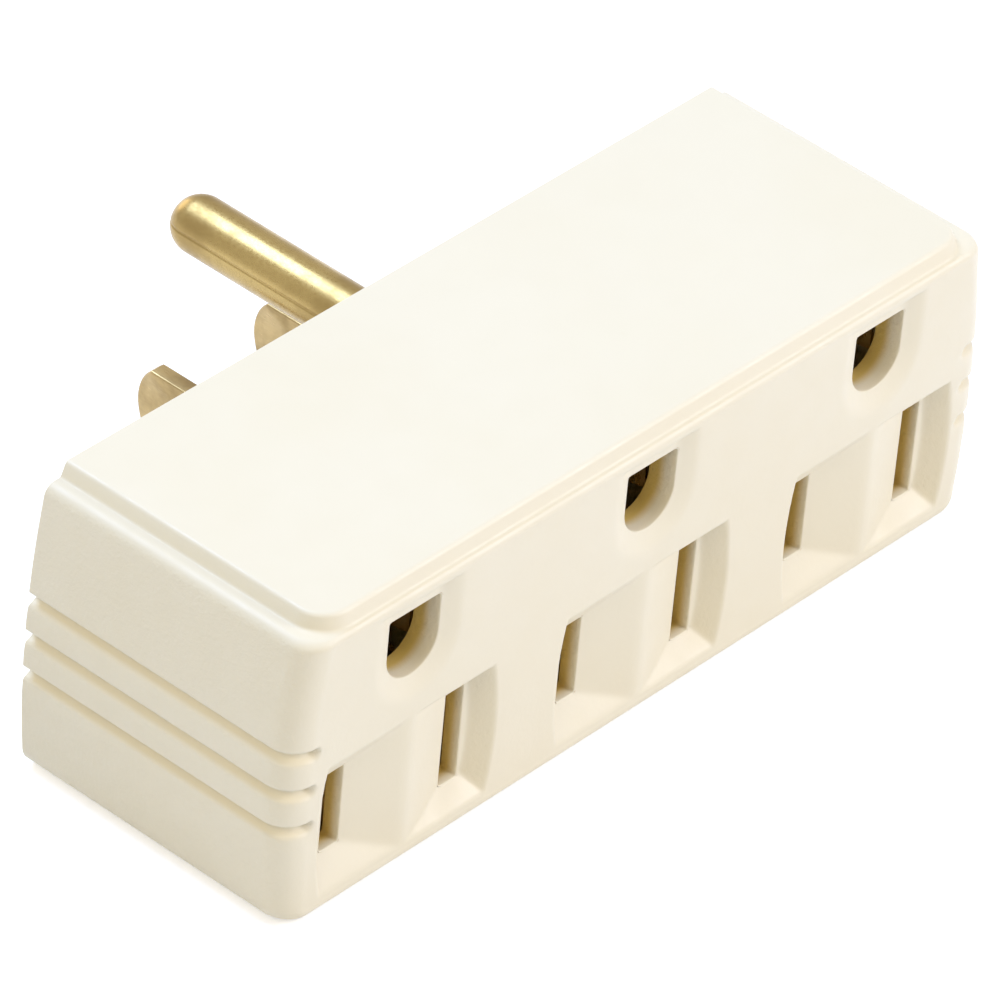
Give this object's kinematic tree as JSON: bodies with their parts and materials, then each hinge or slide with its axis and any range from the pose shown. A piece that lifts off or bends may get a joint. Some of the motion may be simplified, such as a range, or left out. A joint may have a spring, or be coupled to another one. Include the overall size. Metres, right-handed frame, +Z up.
{
  "type": "grounding plug adapter",
  "caption": "Ivory moulded plug adapter: a row of grounded outlets across its front face, with two flat blades and a round ground pin on its back.",
  "frame": {"origin": "under the middle of the whole adapter, body and plug together, at the height of the body's underside", "axes": "+X along the row of outlets, +Y from the outlet face towards the plug, +Z up, with the ground pin above the blades"},
  "size_m": [0.0766, 0.0482, 0.0266],
  "materials": {
    "housing": "ivory moulded plastic with a soft sheen",
    "strip_brass": "rolled strip, satin",
    "spring_brass": "spring brass, satin",
    "rivet_brass": "headed wire, satin",
    "blade_brass": "stamped blade, fine drawn grain",
    "pin_brass": "polished"
  },
  "bodies": {
    "root": {"front_housing": "housing", "rear_cover": "housing", "hot_bus_bar": "strip_brass", "neutral_bus_bar": "strip_brass", "ground_bus_bar": "strip_brass", "hot_contact_1": "spring_brass", "hot_contact_2": "spring_brass", "hot_contact_3": "spring_brass", "neutral_contact_1": "spring_brass", "neutral_contact_2": "spring_brass", "neutral_contact_3": "spring_brass", "ground_contact_1": "spring_brass", "ground_contact_2": "spring_brass", "ground_contact_3": "spring_brass", "hot_rivets": "rivet_brass", "neutral_rivets": "rivet_brass", "ground_rivets": "rivet_brass", "hot_blade": "blade_brass", "neutral_blade": "blade_brass", "ground_pin": "pin_brass"}
  },
  "joints": []
}
